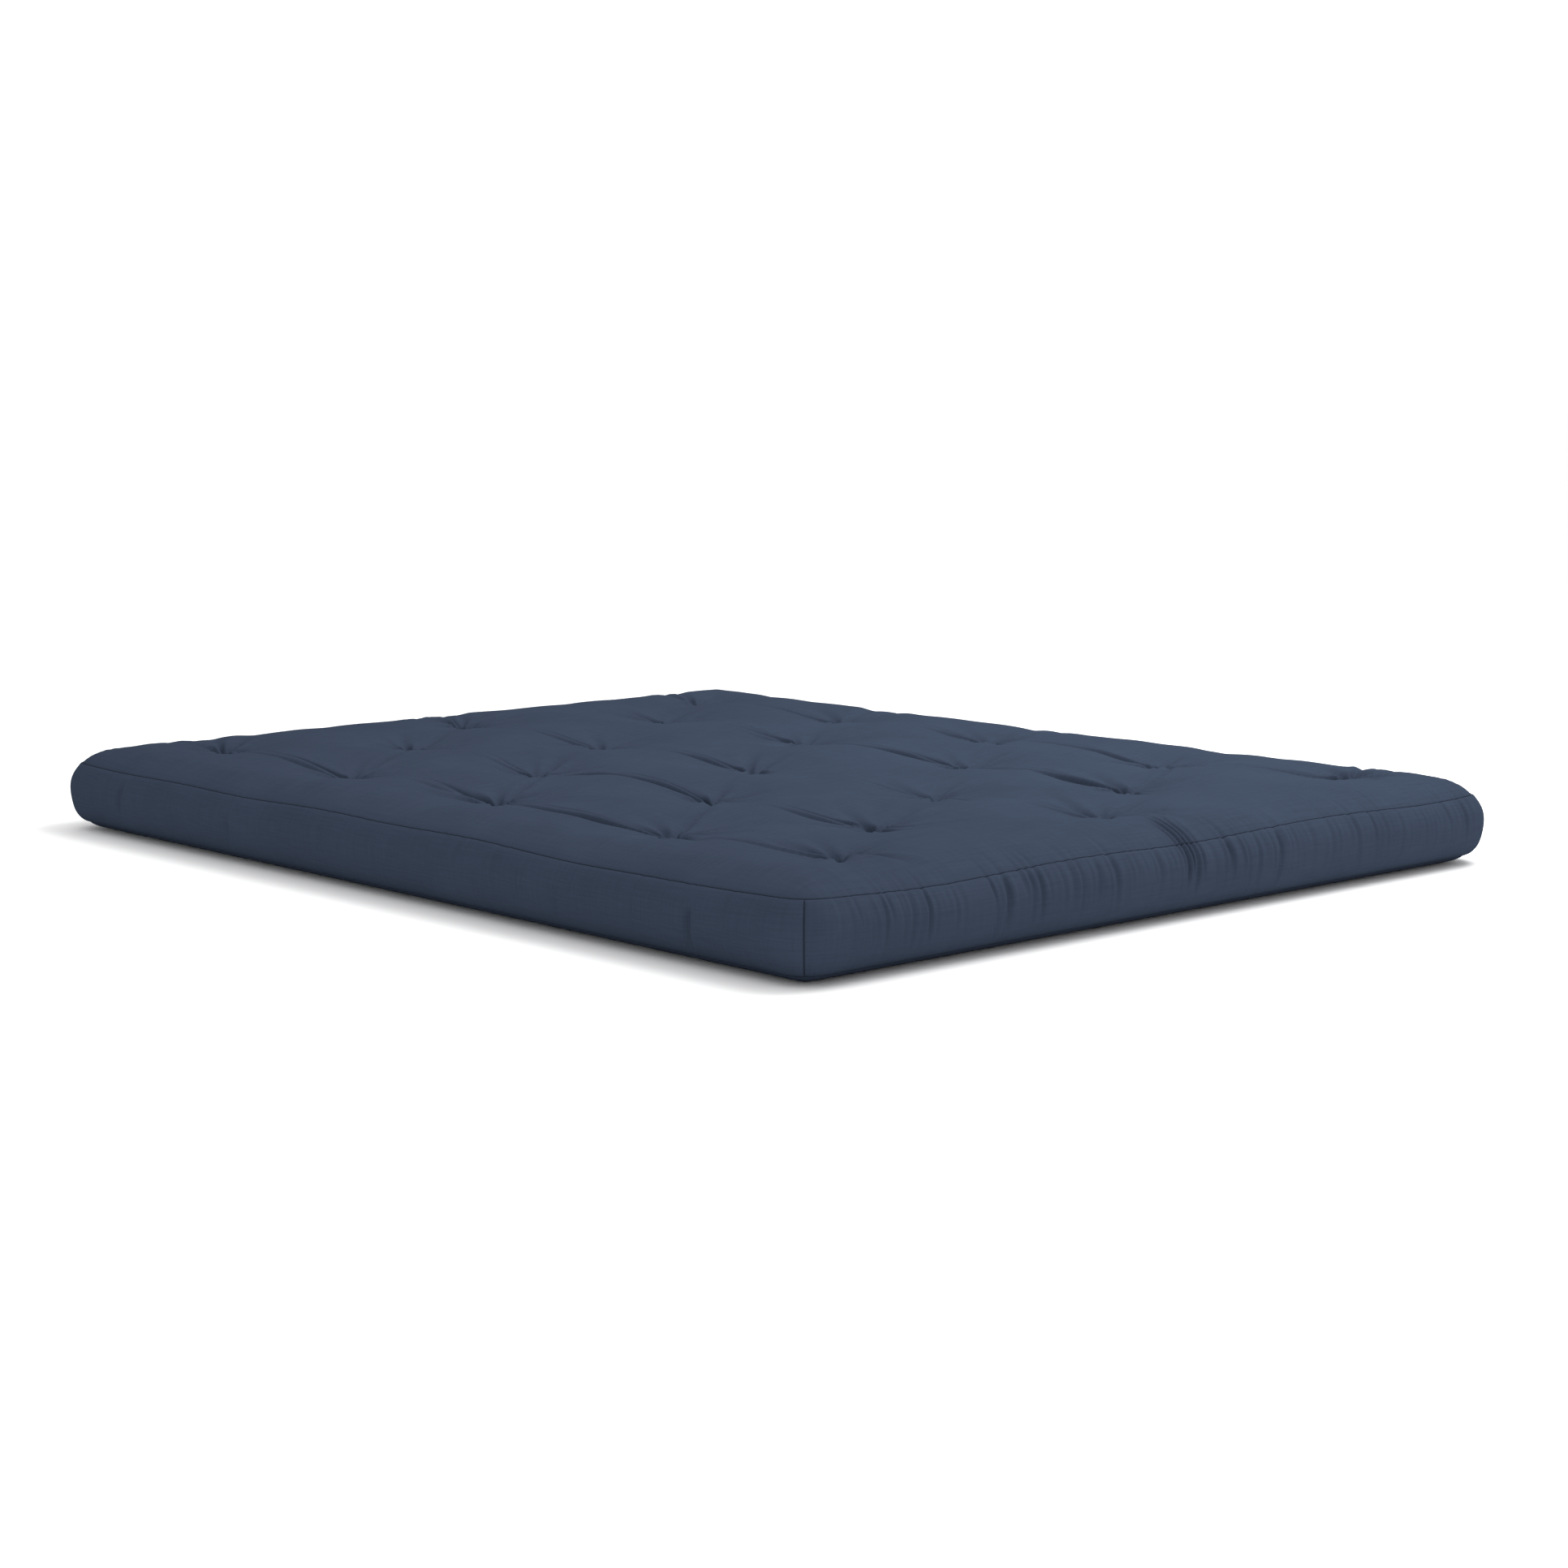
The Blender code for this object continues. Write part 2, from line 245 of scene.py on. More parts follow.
def crowded_lines(half, count, centres, weights, reach):
    """Places of grid lines, in cells from the first edge, that lie closer together near the centres.

    The density is 1 plus the highest of the bell curves round the centres, each times its weight, and
    the lines are at equal steps of its integral. Each column of centres gives its own set of lines.
    """
    spot = np.linspace(-half, half, 1201)
    bell = (weights * np.exp(-((spot[:, None, None] - centres) / reach) ** 2)).max(1)
    rise = np.cumsum(1 + bell, 0)
    rise = (rise - rise[0]) / (rise[-1] - rise[0])
    shares = np.linspace(0, 1, count)
    return np.stack([np.interp(shares, column, spot + half) for column in rise.T], 1) / CELL


def quads(index):
    """The four corners of every cell of a grid of point numbers, from the first axis to the second."""
    return np.stack([index[:-1, :-1], index[1:, :-1], index[1:, 1:], index[:-1, 1:]], -1).reshape(-1, 4)


def mesh_piece(name, points, faces, cloth_map, finish):
    """A smooth mesh from points and four-cornered faces, with its cloth map in metres."""
    mesh = bpy.data.meshes.new(name)
    mesh.vertices.add(len(points))
    mesh.vertices.foreach_set("co", points.astype(np.float32).ravel())
    mesh.loops.add(faces.size)
    mesh.loops.foreach_set("vertex_index", faces.astype(np.int32).ravel())
    mesh.polygons.add(len(faces))
    mesh.polygons.foreach_set("loop_start", np.arange(0, faces.size, 4, dtype=np.int32))
    mesh.update(calc_edges=True)
    mesh.validate()
    mesh.shade_smooth()
    layer = mesh.uv_layers.new(name="cloth")
    layer.data.foreach_set("uv", cloth_map[faces.ravel()].astype(np.float32).ravel())
    if finish:
        mesh.materials.append(finish)
    piece = bpy.data.objects.new(name, mesh)
    bpy.context.scene.collection.objects.link(piece)
    return piece


def sheet_piece(name, grid, cloth_map, finish, flip=False):
    """One sheet of cloth from a grid of points."""
    index = np.arange(grid.shape[0] * grid.shape[1]).reshape(grid.shape[:2])
    faces = quads(index)
    return mesh_piece(name, grid.reshape(-1, 3), faces[:, ::-1] if flip else faces,
                      cloth_map.reshape(-1, 2), finish)


def slab_piece(name, upper, lower, slot, finish):
    """A closed layer between two grids of the same plan, with upright walls round its edge."""
    shape = upper.shape[:2]
    count = shape[0] * shape[1]
    index = np.arange(count).reshape(shape)
    ring = index.ravel()[ring_of(shape)]
    after = np.roll(ring, -1)
    walls = np.stack([ring, ring + count, after + count, after], -1)
    faces = np.concatenate([quads(index), quads(index + count)[:, ::-1], walls])
    points = np.concatenate([upper.reshape(-1, 3), lower.reshape(-1, 3)])
    return mesh_piece(name, points, faces, points[:, :2] + points[:, 2:], finish)


def tube_piece(name, path, radius, finish, closed=False, sides=8):
    """A round cord along a path: rings of points at a radius from it, with flat caps."""
    ahead = np.roll(path, -1, 0) - np.roll(path, 1, 0) if closed else np.gradient(path, axis=0)
    ahead = unit(ahead)
    across = unit(np.cross(ahead, np.where(np.abs(ahead[:, 2:]) > 0.9, [[1.0, 0, 0]], [[0, 0, 1.0]])))
    over = np.cross(across, ahead)
    turn = np.linspace(0, 2 * np.pi, sides, endpoint=False)
    size = np.full(len(path), radius)
    if not closed:
        size[[0, -1]] *= 0.3
    rings = path[:, None] + size[:, None, None] * (
        np.cos(turn)[None, :, None] * across[:, None] + np.sin(turn)[None, :, None] * over[:, None])
    index = np.arange(len(path) * sides).reshape(-1, sides)
    index = np.concatenate([index, index[:, :1]], 1)
    if closed:
        index = np.concatenate([index, index[:1]], 0)
    run = np.concatenate([[0.0], np.cumsum(np.linalg.norm(np.diff(path, axis=0), axis=1))])
    cloth_map = np.stack([np.repeat(run, sides), np.tile(turn * radius, len(path))], -1)
    faces = quads(index)
    if not closed:
        k = np.arange(sides // 2 - 1)
        cap = np.stack([k, k + 1, sides - 2 - k, sides - 1 - k], -1)
        faces = np.concatenate([faces, index[0][cap], index[-1][cap][:, ::-1]])
    return mesh_piece(name, rings.reshape(-1, 3), faces, cloth_map, finish)


def ring_of(shape):
    """Flat numbers of the points round the edge of a grid, anticlockwise from its first corner."""
    index = np.arange(shape[0] * shape[1]).reshape(shape)
    return np.concatenate([index[:-1, 0], index[-1, :-1], index[:0:-1, -1], index[0, :0:-1]])


# ---------------------------------------------------------------- cover

def plan_grid(cell):
    """Plan of the mattress as a grid with rounded corners: each corner's square rings become arcs."""
    halves_of = (HALF_WIDTH, HALF_LENGTH)
    ticks = [np.linspace(-half, half, int(round(2 * half / cell)) + 1) for half in halves_of]
    x, y = np.meshgrid(*ticks, indexing="ij")
    u = np.maximum(np.abs(x) - (HALF_WIDTH - CORNER), 0)
    v = np.maximum(np.abs(y) - (HALF_LENGTH - CORNER), 0)
    scale = np.where((u > 0) & (v > 0), np.maximum(u, v) / np.maximum(np.hypot(u, v), 1e-9), 1.0)
    x = np.sign(x) * (np.minimum(np.abs(x), HALF_WIDTH - CORNER) + u * scale)
    y = np.sign(y) * (np.minimum(np.abs(y), HALF_LENGTH - CORNER) + v * scale)
    return x, y


def past_corner(x, y):
    """How far each point lies past the middle of its corner arc, along x and along y, with its sign."""
    return [np.sign(c) * np.maximum(np.abs(c) - (half - CORNER), 0) for c, half in
            ((x, HALF_WIDTH), (y, HALF_LENGTH))]


def edge_distance(x, y):
    """Distance in from the rounded outline of the mattress."""
    inside = np.maximum(np.abs(x) - HALF_WIDTH, np.abs(y) - HALF_LENGTH) + CORNER
    return CORNER - np.hypot(*past_corner(x, y)) - np.minimum(inside, 0)


def outwards(x, y):
    """Level unit vectors out to the rounded outline, in a margin as wide as its corner radius."""
    return unit(np.stack([*past_corner(x, y), np.zeros_like(x)], -1))


def tie_distance(x, y):
    """Distance from every point to every tie."""
    return np.hypot(x[..., None] - TUFTS[:, 0], y[..., None] - TUFTS[:, 1])


def tie_hollows(x, y):
    """Drop of the cloth round the ties: a pit, depth times exp(-distance / reach), in a wide dish.

    The dish fades towards the edge, where a roll of filling keeps its full height.
    """
    away = tie_distance(x, y)
    dish = DISH_DEPTH * (np.maximum(0, 1 - away / DISH_REACH) ** DISH_POINT).sum(-1)
    dish *= smoothstep(*ROLL, edge_distance(x, y))
    return dish + (PIT_DEPTH * np.exp(-away / PIT_REACH)).sum(-1)


def seam_wave(x, y):
    """Height of the top seam over its mean: it dips beside each tie near it, and wanders a little."""
    dip = np.exp(-(np.minimum(tie_distance(x, y), TIE_FAR) / SEAM_DIP_REACH) ** 2).sum(-1)
    return SEAM_DIP_MEAN - SEAM_DIP * dip + SEAM_WANDER * np.sin(7.3 * x + 1.0) * np.cos(5.1 * y)


def cloth_start():
    """The cover before it swells: a crowned top with a hollow at every tie, and the border below it."""
    x, y = plan_grid(CELL)
    pins = []
    for tuft in TUFTS:
        spot = np.unravel_index(np.argmin((x - tuft[0]) ** 2 + (y - tuft[1]) ** 2), x.shape)
        x[spot], y[spot] = tuft
        pins.append(spot)
    margin = 1 - np.maximum(0, 1 - edge_distance(x, y) / EDGE_RUN) ** EDGE_FULL
    z = TOP_SEAM + (CROWN - SAG - TOP_SEAM) * margin - tie_hollows(x, y)
    beside = 1 - smoothstep(*SIDE_STRIP, HALF_WIDTH - np.abs(x))
    z -= SIDE_DROP * beside * margin * smoothstep(*SIDE_ENDS, HALF_LENGTH - np.abs(y))
    top = np.stack([x, y, z + seam_wave(x, y) * (1 - margin)], -1)
    ring = top.reshape(-1, 3)[ring_of(x.shape)]
    rows = max(4, int(round((TOP_SEAM - BOTTOM_SEAM) / CELL)))
    t = np.linspace(0, 1, rows + 1)[1:, None, None]
    border = ring[None] + outwards(ring[:, 0], ring[:, 1])[None] * SWELL_START * np.sin(np.pi * t)
    border[..., 2] = (ring[None, :, 2:] + t * (BOTTOM_SEAM - ring[None, :, 2:]))[..., 0]
    return top, border, pins


def swell_cover(top, border, pins):
    """Cloth simulation: the cover is held at its bottom seam and at the ties and blown up from inside.

    The swollen cover is its start plus a share of the movement, which is evened out first.
    """
    shape, count = top.shape[:2], top.shape[0] * top.shape[1]
    index = np.arange(count).reshape(shape)
    ring = ring_of(shape)
    below = count + np.arange(border.shape[0] * border.shape[1]).reshape(border.shape[:2])
    rows = np.concatenate([ring[None], below])
    rows = np.concatenate([rows, rows[:, :1]], 1)
    faces = np.concatenate([quads(index), quads(rows)])
    points = np.concatenate([top.reshape(-1, 3), border.reshape(-1, 3)])
    cloth = mesh_piece("swelling_cover", points, faces, points[:, :2], None)
    held = cloth.vertex_groups.new(name="held")
    held.add([int(index[spot]) for spot in pins], 1.0, "REPLACE")
    held.add([int(i) for i in below[-1]], 1.0, "REPLACE")
    held.add([int(i) for i in ring], SEAM_HELD, "REPLACE")
    swell = cloth.modifiers.new("swell", "CLOTH")
    how = swell.settings
    how.vertex_group_mass = held.name
    how.quality, how.mass, how.air_damping = 5, 0.3, 2.0
    how.tension_stiffness = how.compression_stiffness = 25.0
    how.shear_stiffness, how.bending_stiffness = 8.0, 0.3
    how.pin_stiffness = 2.0
    how.use_pressure, how.uniform_pressure_force = True, 1.5
    how.shrink_min = -0.014
    how.effector_weights.gravity = 0.0
    swell.point_cache.frame_end = SWELL_FRAMES
    for step in range(1, SWELL_FRAMES + 1):
        bpy.context.scene.frame_set(step)
    swollen = cloth.evaluated_get(bpy.context.evaluated_depsgraph_get())
    out = np.zeros(points.size)
    swollen.data.vertices.foreach_get("co", out)
    out = out.reshape(-1, 3)
    bpy.context.scene.frame_set(1)
    bpy.data.objects.remove(cloth, do_unlink=True)
    drift = iron(iron(out[:count].reshape(top.shape) - top, TOP_PASSES, 0), TOP_PASSES, 1)
    new_top = top + SWELL_KEPT * drift
    drift = iron(out[count:].reshape(border.shape) - border, EDGE_PASSES, 1, closed=True)
    new_border = border + SWELL_KEPT * drift
    edge, before = new_top.reshape(-1, 3), top.reshape(-1, 3)[ring]
    edge[ring] = before + iron(edge[ring] - before, EDGE_PASSES, 0, closed=True)
    return new_top, new_border


def iron(drift, passes, axis, closed=False):
    """Evens out movements along an axis: half a point's own and a quarter of each neighbour's."""
    for _ in range(passes):
        before, after = np.roll(drift, 1, axis), np.roll(drift, -1, axis)
        if not closed:
            rows = np.moveaxis(drift, axis, 0)
            np.moveaxis(before, axis, 0)[0] = rows[0]
            np.moveaxis(after, axis, 0)[-1] = rows[-1]
        drift = 0.5 * drift + 0.25 * (before + after)
    return drift


def grooves(away, width, depth, ridge=0.45):
    """Cross-section of a crease: a valley with a low ridge on both sides."""
    ridges = np.exp(-((np.abs(away) - 2.1 * width) / width) ** 2)
    return depth * (ridge * ridges - np.exp(-(away / width) ** 2))


def pleat(away, width, depth):
    """Cross-section of a pinched fold: a round ridge, and narrow valleys two widths to both sides."""
    valleys = np.exp(-((away - 2.0 * width) / (0.62 * width)) ** 2)
    valleys = valleys + 0.75 * np.exp(-((away + 2.0 * width) / (0.70 * width)) ** 2)
    return depth * (0.70 * np.exp(-(away / (1.3 * width)) ** 2) - valleys)


def arc_crease(x, y, start, stop, bow, width, depth):
    """Height of one short crease on an arc from start to stop that bows sideways at its middle."""
    run = stop - start
    length = np.hypot(*run)
    ahead = run / length
    side = np.array([-ahead[1], ahead[0]])
    t = ((x - start[0]) * ahead[0] + (y - start[1]) * ahead[1]) / length
    inside = np.clip(t, 0, 1)
    away = (x - start[0]) * side[0] + (y - start[1]) * side[1] - bow * 4 * inside * (1 - inside)
    return smoothstep(*ARC_START, t) * (1 - smoothstep(*ARC_STOP, t)) * grooves(away, width, depth)


def tie_folds(x, y):
    """Folds that radiate from every tie: valleys on curved rays that widen with distance and die away.

    A fold is as deep as smoothstep(distance) times exp(-distance / reach), and its line is a parabola.
    """
    height = np.zeros_like(x)
    for tuft in TUFTS:
        dx, dy = x - tuft[0], y - tuft[1]
        away = np.hypot(dx, dy)
        near = away < RAY_LIMIT
        dx, dy = dx[near], dy[near]
        turn = 2 * np.pi * (np.arange(RAYS) + rng.uniform(*RAY_TURN, RAYS)) / RAYS + rng.uniform(0, 6.28)
        reach = rng.uniform(*RAY_REACH, RAYS)
        depth = rng.uniform(*RAY_DEPTH, RAYS)
        along = dx[:, None] * np.cos(turn) + dy[:, None] * np.sin(turn)
        across = -dx[:, None] * np.sin(turn) + dy[:, None] * np.cos(turn)
        across = across + along ** 2 * rng.uniform(*RAY_CURVE, RAYS)
        rise = smoothstep(0.0, RAY_START, along) * np.exp(-np.maximum(along, 0) / reach)
        width = RAY_WIDTH + RAY_SPREAD * np.maximum(along, 0)
        height[near] += (rise * grooves(across, width, depth)).sum(-1)
    return height


def tie_columns():
    """The ties of every column, each column from the near end to the far end, left to right."""
    columns = []
    for number in np.argsort(TUFTS[:, 1], kind="stable"):
        for column in columns:
            if abs(TUFTS[column[-1], 0] - TUFTS[number, 0]) < COLUMN_SPREAD:
                column.append(int(number))
                break
        else:
            columns.append([int(number)])
    return sorted(columns, key=lambda column: TUFTS[column, 0].mean())


def column_line(y, column, gaps):
    """A column's crease at each distance along the mattress: place, share of its gap, and depth.

    Between two ties the line is straight, plus a parabola as high as the bow of that gap.
    """
    ties = TUFTS[column]
    gap = np.clip(np.searchsorted(ties[:, 1], y) - 1, 0, len(gaps) - 1)
    t = (y - ties[gap, 1]) / (ties[gap + 1, 1] - ties[gap, 1])
    inside = np.clip(t, 0, 1)
    bow, depth, share = np.array(gaps).T[:, gap]
    line = ties[gap, 0] + inside * (ties[gap + 1, 0] - ties[gap, 0]) + 4 * bow * inside * (1 - inside)
    along = smoothstep(*CREASE_START, t) * (1 - smoothstep(share - CREASE_FADE, share, t))
    return line, inside, depth * along


def column_creases(x, y):
    """Pinched folds that run along the mattress from tie to tie, narrow at the nearer tie."""
    height = np.zeros_like(x)
    for column, gaps in zip(tie_columns(), CREASES):
        line, t, depth = column_line(y, column, gaps)
        width = CREASE_WIDTH[0] + CREASE_WIDTH[1] * smoothstep(0.0, CREASE_WIDENS, t)
        height += pleat(x - line, width, depth)
    return height


def arc_creases(x, y):
    """The short arcs between neighbouring rows of ties."""
    height = np.zeros_like(x)
    for first, last, bow in ARCS:
        height += arc_crease(x, y, TUFTS[first - 1], TUFTS[last - 1], bow, ARC_WIDTH, ARC_DEPTH)
    return height


def fold_bunch(x, up, down):
    """Grooves side by side at the fold line, which die away over the top and down the border."""
    height = np.zeros_like(x)
    for place, width, depth, over, low in BUNCH:
        reach = 1 - smoothstep(BUNCH_FADE[0] * over, over, up)
        reach = reach * (1 - smoothstep(BUNCH_FADE[1] * low, low, down))
        height += reach * grooves(x + BUNCH_LEAN * down - FOLD[0] - place, width, depth)
    return height


def edge_place(x, y):
    """Distance round the square outline, from the near left corner, to the nearest place on it."""
    end = np.where(y < 0, x + HALF_WIDTH, WIDE + LONG + HALF_WIDTH - x)
    side = np.where(x > 0, WIDE + y + HALF_LENGTH, 2 * WIDE + LONG + HALF_LENGTH - y)
    return np.where(HALF_LENGTH - np.abs(y) < HALF_WIDTH - np.abs(x), end, side)


def edge_gathers():
    """Place, width, depth, start, reach and lean of every gather round the edge, most on the ends."""
    spots = np.sort(rng.uniform(0, ROUND, GATHERS))
    on_end = (spots < WIDE) | ((spots > WIDE + LONG) & (spots < 2 * WIDE + LONG))
    keep = on_end | (rng.random(len(spots)) < SIDE_SHARE)
    spots, on_end = spots[keep], on_end[keep]
    count = len(spots)
    width = rng.uniform(*GATHER_WIDTH, count)
    depth = np.where(on_end, rng.uniform(*END_DEPTH, count), rng.uniform(*SIDE_DEPTH, count))
    depth = np.where(rng.random(count) < DOUBLED_SHARE, depth * 2.0, depth)
    reach = rng.uniform(*GATHER_REACH, count)
    lean = rng.uniform(*GATHER_LEAN, count)
    place, deep, start, stop = np.array(BORDER_CREASES).T
    some = len(place)
    return (np.append(spots, place), np.append(width, np.full(some, BORDER_CREASE_WIDTH)),
            np.append(depth, deep), np.append(np.full(count, -1.0), start), np.append(reach, stop),
            np.append(lean, np.full(some, BORDER_CREASE_LEAN)))


def gather_depth(place, down, gathers):
    """Depth of all gathers at a distance round the edge and a share of the way down the border."""
    spots, width, depth, start, reach, lean = gathers
    away = place[..., None] - spots - lean * down[..., None]
    away = (away + ROUND / 2) % ROUND - ROUND / 2
    fade = np.exp(-(down[..., None] / reach) ** GATHER_END)
    fade = fade * smoothstep(start, start + GATHER_BEGIN, down[..., None])
    return (fade * grooves(away, width, depth, GATHER_RIDGE)).sum(-1)


def edge_ripple(x, y, down, gathers):
    """Gathers and fold bunch at a place on the outline and a share of the way down the border."""
    ripple = np.zeros(x.shape)
    for part in np.array_split(np.arange(x.shape[1]), BATCHES):
        ripple[:, part] = gather_depth(edge_place(x[:, part], y[:, part]), down[:, part], gathers)
    to_corner = np.maximum(HALF_WIDTH - np.abs(x), HALF_LENGTH - np.abs(y))
    ripple *= smoothstep(*GATHER_FREE, to_corner) * (1 - smoothstep(*BORDER_CALM, down))
    ripple *= 0.5 + 0.5 * smoothstep(0.0, SEAM_CALM, down)
    return ripple + fold_bunch(x, 0.0, down)


def finish_top(fine, plan, gathers):
    """The fine top panel: folds, creases, fold bunch, edge gathers, a slight waviness and the tuck.

    Gathers push the cloth out at the seam and up further in, and die away as exp(-(distance / reach)^2).
    """
    x, y = plan[..., 0], plan[..., 1]
    inner = edge_distance(x, y)
    lift = tie_folds(x, y) + column_creases(x, y) + arc_creases(x, y)
    lift += UNEVEN * np.sin(31 * x + 3 * np.sin(9 * y)) * np.sin(23 * y + 2 * np.sin(11 * x))
    fine[..., 2] = soft_cap(fine[..., 2] + lift * smoothstep(*FOLDS_FROM, inner))
    for tuft, height in zip(TUFTS, tie_heights(fine)):
        blend = smoothstep(*KNOT_FLAT, np.hypot(x - tuft[0], y - tuft[1]))
        fine[..., 2] = height + (fine[..., 2] - height) * blend
    out = outwards(x, y)
    edge = fold_bunch(x, HALF_LENGTH - np.abs(y), 0.0)
    close = inner < 3 * GATHER_FADE
    place = edge_place(x[close], y[close])[None]
    to_corner = np.maximum(HALF_WIDTH - np.abs(x), HALF_LENGTH - np.abs(y))
    batches = np.array_split(place, BATCHES, axis=1)
    rows = [gather_depth(part, np.zeros_like(part), gathers) for part in batches]
    edge[close] += (0.5 * np.concatenate(rows, 1)[0] * np.exp(-(inner[close] / GATHER_FADE) ** 2)
                    * smoothstep(*GATHER_FREE, to_corner[close]))
    lean = 1 - smoothstep(0, EDGE_LEAN, inner)
    fine += unit(out * lean[..., None] + [0, 0, 1]) * edge[..., None]
    outwards_by = PLUMP * (1 - smoothstep(0, PLUMP_RUN, inner)) - SEAM_TUCK * np.exp(-inner / SEAM_RUN)
    return fine + out * outwards_by[..., None]


def nearest(grid, spot):
    """The grid point nearest to a place in plan."""
    return grid.reshape(-1, 3)[np.argmin(((grid[..., :2] - spot) ** 2).sum(-1))]


def tie_heights(grid):
    """Height of the cloth at every tie."""
    return np.array([nearest(grid, tuft)[2] for tuft in TUFTS])


def soft_cap(z):
    """Heights over the crown are squeezed, so that none passes the limit."""
    knee = CROWN_LIMIT - CAP_ROOM
    return np.minimum(z, knee) + CAP_ROOM * np.tanh(np.maximum(z - knee, 0) / CAP_ROOM)


def finish_border(fine, plan, down, gathers):
    """The fine border all round: swollen rows with gathers, the fold bunch and tucks at both seams."""
    x, y = (np.broadcast_to(plan[None, :, axis], fine.shape[:2]) for axis in (0, 1))
    down = np.broadcast_to(down[:, None], fine.shape[:2])
    out = outwards(plan[:, 0], plan[:, 1])[None]
    thick = np.linalg.norm(fine[0] - fine[-1], axis=-1)[None]
    lean = 1 - smoothstep(0, EDGE_LEAN, down * thick)
    ripple = edge_ripple(x, y, down, gathers)
    fine = fine + unit(out + lean[..., None] * [0, 0, 1]) * ripple[..., None]
    turn = np.abs(np.abs(out[..., 0]) - np.abs(out[..., 1]))
    from_corner_seam = np.where(turn < STRAIGHT, turn * CORNER * 0.75, 1.0)
    lift = BULGE * (1 - np.abs(2 * down - 1) ** np.where(down < 0.5, BULGE_ABOVE, BULGE_BELOW))
    lift += PLUMP * (1 - down)
    lift -= 0.6 * SEAM_TUCK * np.exp(-from_corner_seam / SEAM_RUN) * smoothstep(0, 0.1, down * (1 - down))
    lift -= SEAM_TUCK * (np.exp(-down * thick / SEAM_RUN) + np.exp(-(1 - down) * thick / SEAM_RUN))
    return fine + out * lift[..., None]


# ---------------------------------------------------------------- materials

class Value:
    """A shader value: arithmetic on it adds the Math nodes that work it out."""

    def __init__(self, finish, socket):
        self.finish, self.socket = finish, socket

    def maths(self, operation, *others):
        """The value of one Math node that is fed with this value and the others."""
        fed = dict(enumerate((self, *others)))
        return self.finish.node("ShaderNodeMath", {"operation": operation}, fed)

    def __add__(self, other):
        return self.maths("ADD", other)

    def __sub__(self, other):
        return self.maths("SUBTRACT", other)

    def __mul__(self, other):
        return self.maths("MULTIPLY", other)

    def __rsub__(self, other):
        return self.finish.node("ShaderNodeMath", {"operation": "SUBTRACT"}, {0: other, 1: self})

    __radd__, __rmul__ = __add__, __mul__

    def sine(self):
        """The sine of the value."""
        return self.maths("SINE")


class Finish:
    """A procedural material. Its node method makes any node and returns one output as a Value."""

    def __init__(self, name, colour, roughness, sheen=0.0, specular=0.1):
        self.material = bpy.data.materials.new(name)
        self.material.use_nodes = True
        self.tree = self.material.node_tree
        self.shader = self.tree.nodes["Principled BSDF"]
        self.shader.inputs["Base Color"].default_value = (*colour, 1)
        self.shader.inputs["Roughness"].default_value = roughness
        self.shader.inputs["Specular IOR Level"].default_value = specular
        self.shader.inputs["Sheen Weight"].default_value = sheen
        self.shader.inputs["Sheen Roughness"].default_value = 0.5

    def node(self, kind, settings, sockets, output=0):
        """Makes a node with its settings, feeds its sockets and returns one output."""
        made = self.tree.nodes.new(kind)
        for key, value in settings.items():
            setattr(made, key, value)
        for key, value in sockets.items():
            self.feed(made.inputs[key], value)
        return Value(self, made.outputs[output])

    def feed(self, socket, value):
        """Links a Value to a socket, or sets the socket to a plain number, colour or vector."""
        if isinstance(value, Value):
            self.tree.links.new(value.socket, socket)
        else:
            socket.default_value = value

    def cloth_map(self):
        """The mesh's map in metres of cloth."""
        return self.node("ShaderNodeUVMap", {"uv_map": "cloth"}, {})

    def noise(self, where, stretch, scale, detail=3.0):
        """Noise on coordinates that are stretched first."""
        placed = self.node("ShaderNodeMapping", {}, {"Vector": where, "Scale": stretch})
        return self.node("ShaderNodeTexNoise", {}, {"Vector": placed, "Scale": scale, "Detail": detail})

    def tint(self, amount, dark, light):
        """A colour between two, by an amount from 0 to 1."""
        return self.node("ShaderNodeMix", {"data_type": "RGBA", "clamp_factor": True},
                         {0: amount, 6: (*dark, 1), 7: (*light, 1)}, 2)

    def bump(self, height, strength, distance):
        """Relief of the finish, from a height between 0 and 1 times a distance."""
        relief = {"Height": height, "Strength": strength, "Distance": distance}
        made = self.node("ShaderNodeBump", {}, relief)
        self.feed(self.shader.inputs["Normal"], made)

    def paint(self, colour, roughness=None):
        """Colour of the finish and, if it varies, its roughness."""
        self.feed(self.shader.inputs["Base Color"], colour)
        if roughness is not None:
            self.feed(self.shader.inputs["Roughness"], roughness)


def cover_cloth():
    """Dull navy cotton: a plain weave, slubs along both yarns and faint mottling."""
    finish = Finish("navy_cotton", NAVY, 0.9, specular=0.0)
    where = finish.cloth_map()
    weft = finish.noise(where, (14, 300, 1), 1.0, 4.0)
    warp = finish.noise(where, (260, 12, 1), 1.0, 4.0)
    mottle = finish.noise(where, (1, 1, 1), 5.0, 3.0)
    axes = finish.node("ShaderNodeSeparateXYZ", {}, {"Vector": where})
    across = Value(finish, axes.socket.node.outputs[1])
    yarns = 2 * math.pi / YARN
    weave = (axes * yarns).sine() * (across * yarns).sine()
    slub = weft * 0.6 + warp * 0.4
    shade = (slub - 0.5) * 1.1 + (mottle - 0.5) * 0.5 + 0.5
    finish.paint(finish.tint(shade, NAVY * 0.80, NAVY * 1.22), 0.84 + slub * 0.12)
    finish.bump(weave * 0.18 + slub, 0.35, 0.0012)
    return finish.material


